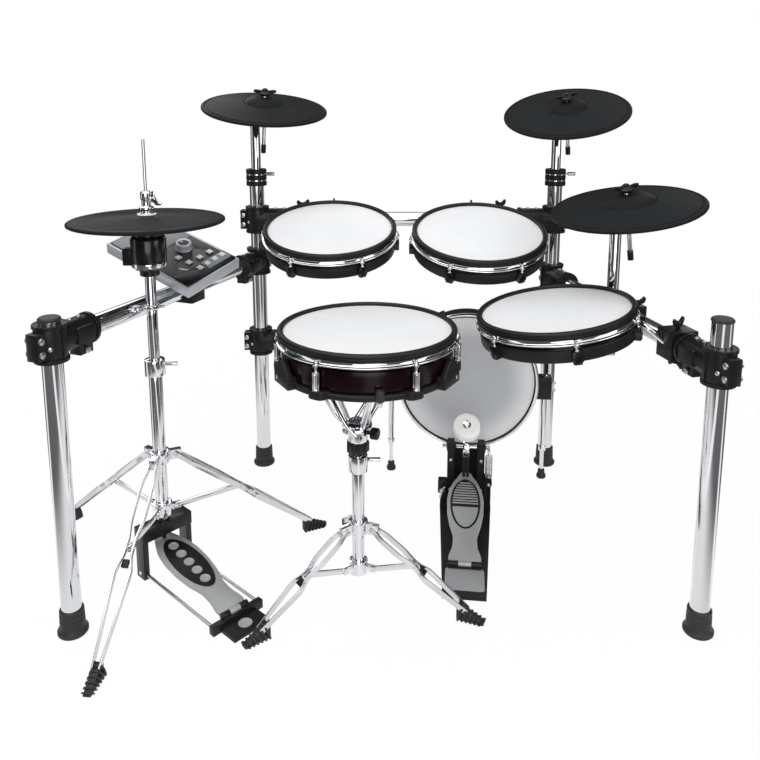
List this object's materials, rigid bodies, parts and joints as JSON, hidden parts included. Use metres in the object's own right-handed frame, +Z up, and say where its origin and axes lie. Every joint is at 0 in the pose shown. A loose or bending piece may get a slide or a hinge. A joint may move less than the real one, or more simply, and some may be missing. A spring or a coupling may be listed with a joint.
{
  "type": "electronic drum kit",
  "caption": "Electronic drum kit on a tube rack: mesh tom, snare and kick pads, rubber cymbal pads on arms, hi-hat and snare tripods, foot pedals and a sound module.",
  "frame": {"origin": "On the floor, under the middle of the kit as seen from above", "axes": "+X to the player's right, along the kit's width, +Y from the player towards the rear bars, +Z up"},
  "size_m": [1.4937, 1.0195, 1.0507],
  "materials": {
    "chrome": "polished chrome plating on steel tube",
    "black_plastic": "black moulded nylon with a fine grain",
    "black_rubber": "black satin rubber",
    "bolt_steel": "zinc plated steel",
    "leg_steel": "plated steel strip with rubber ends",
    "black_shell": "black gloss moulding",
    "mesh": "white woven mesh head with a black rubber rim",
    "burgundy_shell": "dark burgundy gloss wrap",
    "pedal_aluminium": "cast and painted aluminium",
    "black_casting": "black painted steel and castings",
    "silver_case": "silver painted case",
    "black_panel": "black satin panel",
    "grey_button": "light grey keys"
  },
  "bodies": {
    "rack": {"rack_posts": "chrome", "rack_feet_and_caps": "black_rubber", "rack_bars": "chrome", "rack_clamps": "black_plastic", "rack_bolts": "bolt_steel", "tom_arms": "chrome", "kick_shell": "black_shell", "kick_hoop": "chrome", "kick_head": "mesh", "kick_spurs": "chrome", "kick_pedal_base": "black_casting", "kick_spring": "bolt_steel", "hihat_stand_tube": "chrome", "hihat_pedal_frame": "black_casting", "snare_stand_tube": "chrome"},
    "crash_left_arm": {"crash_left_arm": "chrome"},
    "crash_left_pad": {"crash_left_pad": "black_rubber"},
    "crash_right_arm": {"crash_right_arm": "chrome"},
    "crash_right_pad": {"crash_right_pad": "black_rubber"},
    "ride_arm": {"ride_arm": "chrome"},
    "ride_pad": {"ride_pad": "black_rubber"},
    "high_tom": {"high_tom_shell": "black_shell", "high_tom_hoop": "chrome", "high_tom_head": "mesh"},
    "mid_tom": {"mid_tom_shell": "black_shell", "mid_tom_hoop": "chrome", "mid_tom_head": "mesh"},
    "floor_tom": {"floor_tom_shell": "black_shell", "floor_tom_hoop": "chrome", "floor_tom_head": "mesh"},
    "snare": {"snare_shell": "burgundy_shell", "snare_hoop": "chrome", "snare_head": "mesh", "snare_base": "black_plastic", "snare_basket": "chrome"},
    "hihat_collar": {"hihat_collar": "black_plastic"},
    "hihat_leg_1": {"hihat_leg_1": "leg_steel"},
    "hihat_strut_1": {"hihat_strut_1": "leg_steel"},
    "hihat_leg_2": {"hihat_leg_2": "leg_steel"},
    "hihat_strut_2": {"hihat_strut_2": "leg_steel"},
    "hihat_leg_3": {"hihat_leg_3": "leg_steel"},
    "hihat_strut_3": {"hihat_strut_3": "leg_steel"},
    "snare_collar": {"snare_collar": "black_plastic"},
    "snare_leg_1": {"snare_leg_1": "leg_steel"},
    "snare_strut_1": {"snare_strut_1": "leg_steel"},
    "snare_leg_2": {"snare_leg_2": "leg_steel"},
    "snare_strut_2": {"snare_strut_2": "leg_steel"},
    "snare_leg_3": {"snare_leg_3": "leg_steel"},
    "snare_strut_3": {"snare_strut_3": "leg_steel"},
    "hihat_upper": {"hihat_upper_tube": "black_shell"},
    "hihat_rod": {"hihat_rod": "chrome"},
    "hihat_pad": {"hihat_pad": "black_rubber"},
    "hihat_footboard": {"hihat_footboard": "pedal_aluminium"},
    "kick_footboard": {"kick_footboard": "pedal_aluminium"},
    "kick_beater": {"kick_beater": "bolt_steel"},
    "module": {"module_case": "silver_case", "module_panel": "black_panel"},
    "module_dial": {"module_dial": "black_panel"},
    "module_button_1": {"module_button_1": "grey_button"},
    "module_button_2": {"module_button_2": "grey_button"}
  },
  "joints": [
    {"name": "crash_left_height", "type": "slide", "parent": "rack", "child": "crash_left_arm", "axis": [0, 0, 1], "range_m": [-0.03, 0.08]},
    {"name": "crash_left_rock", "type": "hinge", "parent": "crash_left_arm", "child": "crash_left_pad", "pos_m": [-0.24758, 0.3443, 1.022], "axis": [0.9962, 0, -0.0872], "range_deg": [-8, 8], "stiffness_Nm_per_rad": 6},
    {"name": "crash_right_height", "type": "slide", "parent": "rack", "child": "crash_right_arm", "axis": [0, 0, 1], "range_m": [-0.03, 0.08]},
    {"name": "crash_right_rock", "type": "hinge", "parent": "crash_right_arm", "child": "crash_right_pad", "pos_m": [0.53636, 0.33821, 1.011], "axis": [0.9877, 0, 0.1564], "range_deg": [-8, 8], "stiffness_Nm_per_rad": 6},
    {"name": "ride_height", "type": "slide", "parent": "rack", "child": "ride_arm", "axis": [0, 0, 1], "range_m": [-0.05, 0.05]},
    {"name": "ride_rock", "type": "hinge", "parent": "ride_arm", "child": "ride_pad", "pos_m": [0.5808, -0.04442, 0.819], "axis": [0.9877, 0, 0.1564], "range_deg": [-8, 8], "stiffness_Nm_per_rad": 6},
    {"name": "high_tom_tilt", "type": "hinge", "parent": "rack", "child": "high_tom", "pos_m": [-0.069, 0.31283, 0.71769], "axis": [1, 0, 0], "range_deg": [-15, 3]},
    {"name": "mid_tom_tilt", "type": "hinge", "parent": "rack", "child": "mid_tom", "pos_m": [0.29, 0.29778, 0.71511], "axis": [1, 0, 0], "range_deg": [-15, 3]},
    {"name": "floor_tom_tilt", "type": "hinge", "parent": "rack", "child": "floor_tom", "pos_m": [0.57754, -0.16023, 0.58212], "axis": [0.0024, -0.9998, -0.0173], "range_deg": [-3, 4]},
    {"name": "snare_height", "type": "slide", "parent": "rack", "child": "snare", "axis": [0, 0, 1], "range_m": [-0.002, 0.08]},
    {"name": "hihat_fold", "type": "slide", "parent": "rack", "child": "hihat_collar", "axis": [0, 0, 1], "range_m": [0, 0.165]},
    {"name": "hihat_leg_1_hinge", "type": "hinge", "parent": "hihat_collar", "child": "hihat_leg_1", "pos_m": [-0.39419, -0.11163, 0.262], "axis": [-0.4226, 0.9063, 0], "range_deg": [-0.5, 30.62]},
    {"name": "hihat_strut_1_hinge", "type": "hinge", "parent": "rack", "child": "hihat_strut_1", "pos_m": [-0.39419, -0.11163, 0.141], "axis": [-0.4226, 0.9063, 0], "range_deg": [-56.79, 0.5]},
    {"name": "hihat_leg_2_hinge", "type": "hinge", "parent": "hihat_collar", "child": "hihat_leg_2", "pos_m": [-0.45285, -0.1065, 0.262], "axis": [-0.5736, -0.8192, 0], "range_deg": [-0.5, 30.62]},
    {"name": "hihat_strut_2_hinge", "type": "hinge", "parent": "rack", "child": "hihat_strut_2", "pos_m": [-0.45285, -0.1065, 0.141], "axis": [-0.5736, -0.8192, 0], "range_deg": [-56.79, 0.5]},
    {"name": "hihat_leg_3_hinge", "type": "hinge", "parent": "hihat_collar", "child": "hihat_leg_3", "pos_m": [-0.42796, -0.15987, 0.262], "axis": [0.9962, -0.0872, 0], "range_deg": [-0.5, 30.62]},
    {"name": "hihat_strut_3_hinge", "type": "hinge", "parent": "rack", "child": "hihat_strut_3", "pos_m": [-0.42796, -0.15987, 0.141], "axis": [0.9962, -0.0872, 0], "range_deg": [-56.79, 0.5]},
    {"name": "snare_fold", "type": "slide", "parent": "rack", "child": "snare_collar", "axis": [0, 0, 1], "range_m": [0, 0.1]},
    {"name": "snare_leg_1_hinge", "type": "hinge", "parent": "snare_collar", "child": "snare_leg_1", "pos_m": [0.00227, -0.18233, 0.152], "axis": [-0.9903, -0.1392, 0], "range_deg": [-0.5, 36.46]},
    {"name": "snare_strut_1_hinge", "type": "hinge", "parent": "rack", "child": "snare_strut_1", "pos_m": [0.00227, -0.18233, 0.062], "axis": [-0.9903, -0.1392, 0], "range_deg": [-48.04, 0.5]},
    {"name": "snare_leg_2_hinge", "type": "hinge", "parent": "snare_collar", "child": "snare_leg_2", "pos_m": [-0.01979, -0.23693, 0.152], "axis": [0.6157, -0.788, 0], "range_deg": [-0.5, 36.46]},
    {"name": "snare_strut_2_hinge", "type": "hinge", "parent": "rack", "child": "snare_strut_2", "pos_m": [-0.01979, -0.23693, 0.062], "axis": [0.6157, -0.788, 0], "range_deg": [-48.04, 0.5]},
    {"name": "snare_leg_3_hinge", "type": "hinge", "parent": "snare_collar", "child": "snare_leg_3", "pos_m": [0.03852, -0.22874, 0.152], "axis": [0.3746, 0.9272, 0], "range_deg": [-0.5, 36.46]},
    {"name": "snare_strut_3_hinge", "type": "hinge", "parent": "rack", "child": "snare_strut_3", "pos_m": [0.03852, -0.22874, 0.062], "axis": [0.3746, 0.9272, 0], "range_deg": [-48.04, 0.5]},
    {"name": "hihat_height", "type": "slide", "parent": "rack", "child": "hihat_upper", "axis": [0, 0, 1], "range_m": [-0.02, 0.06]},
    {"name": "hihat_pedal", "type": "hinge", "parent": "rack", "child": "hihat_footboard", "pos_m": [-0.2385, -0.29991, 0.02], "axis": [-0.682, -0.7314, 0], "range_deg": [0, 3.6], "stiffness_Nm_per_rad": 20, "springref_deg": -22.92},
    {"name": "hihat_pull", "type": "slide", "parent": "rack", "child": "hihat_rod", "axis": [0, 0, -1], "range_m": [-0.0005, 0.0165]},
    {"name": "hihat_clutch", "type": "slide", "parent": "hihat_rod", "child": "hihat_pad", "axis": [0, 0, 1], "range_m": [-0.0205, 0.0605]},
    {"name": "kick_pedal", "type": "hinge", "parent": "rack", "child": "kick_footboard", "pos_m": [0.23721, -0.15157, 0.02], "axis": [0.9936, -0.1132, 0], "range_deg": [-6.2, 0]},
    {"name": "kick_beater", "type": "hinge", "parent": "rack", "child": "kick_beater", "pos_m": [0.27117, 0.1465, 0.15], "axis": [0.9936, -0.1132, 0], "range_deg": [-62.5, 0.5], "stiffness_Nm_per_rad": 0.8, "springref_deg": 68.75, "deforming": ["kick_spring"]},
    {"name": "module_tilt", "type": "hinge", "parent": "rack", "child": "module", "pos_m": [-0.3979, 0.05378, 0.63157], "axis": [0.5551, 0.7943, 0.2469], "range_deg": [-10, 10]},
    {"name": "module_dial", "type": "hinge", "parent": "module", "child": "module_dial", "pos_m": [-0.40493, 0.07387, 0.67997], "axis": [0.1005, -0.3587, 0.928], "continuous": true},
    {"name": "module_button_1", "type": "slide", "parent": "module", "child": "module_button_1", "axis": [-0.1005, 0.3587, -0.928], "range_m": [0, 0.0015], "stiffness_N_per_m": 300},
    {"name": "module_button_2", "type": "slide", "parent": "module", "child": "module_button_2", "axis": [-0.1005, 0.3587, -0.928], "range_m": [0, 0.0015], "stiffness_N_per_m": 300}
  ],
  "couplings": [
    {"joint": "hihat_leg_1_hinge", "follows": "hihat_fold", "rad_per_m": 3.1856},
    {"joint": "hihat_strut_1_hinge", "follows": "hihat_fold", "rad_per_m": -5.9543},
    {"joint": "hihat_leg_2_hinge", "follows": "hihat_fold", "rad_per_m": 3.1856},
    {"joint": "hihat_strut_2_hinge", "follows": "hihat_fold", "rad_per_m": -5.9543},
    {"joint": "hihat_leg_3_hinge", "follows": "hihat_fold", "rad_per_m": 3.1856},
    {"joint": "hihat_strut_3_hinge", "follows": "hihat_fold", "rad_per_m": -5.9543},
    {"joint": "snare_leg_1_hinge", "follows": "snare_fold", "rad_per_m": 6.2759},
    {"joint": "snare_strut_1_hinge", "follows": "snare_fold", "rad_per_m": -8.298},
    {"joint": "snare_leg_2_hinge", "follows": "snare_fold", "rad_per_m": 6.2759},
    {"joint": "snare_strut_2_hinge", "follows": "snare_fold", "rad_per_m": -8.298},
    {"joint": "snare_leg_3_hinge", "follows": "snare_fold", "rad_per_m": 6.2759},
    {"joint": "snare_strut_3_hinge", "follows": "snare_fold", "rad_per_m": -8.298},
    {"joint": "hihat_pull", "follows": "hihat_pedal", "m_per_rad": 0.255},
    {"joint": "hihat_clutch", "follows": "hihat_height", "ratio": 1},
    {"joint": "kick_beater", "follows": "kick_pedal", "ratio": 10}
  ]
}
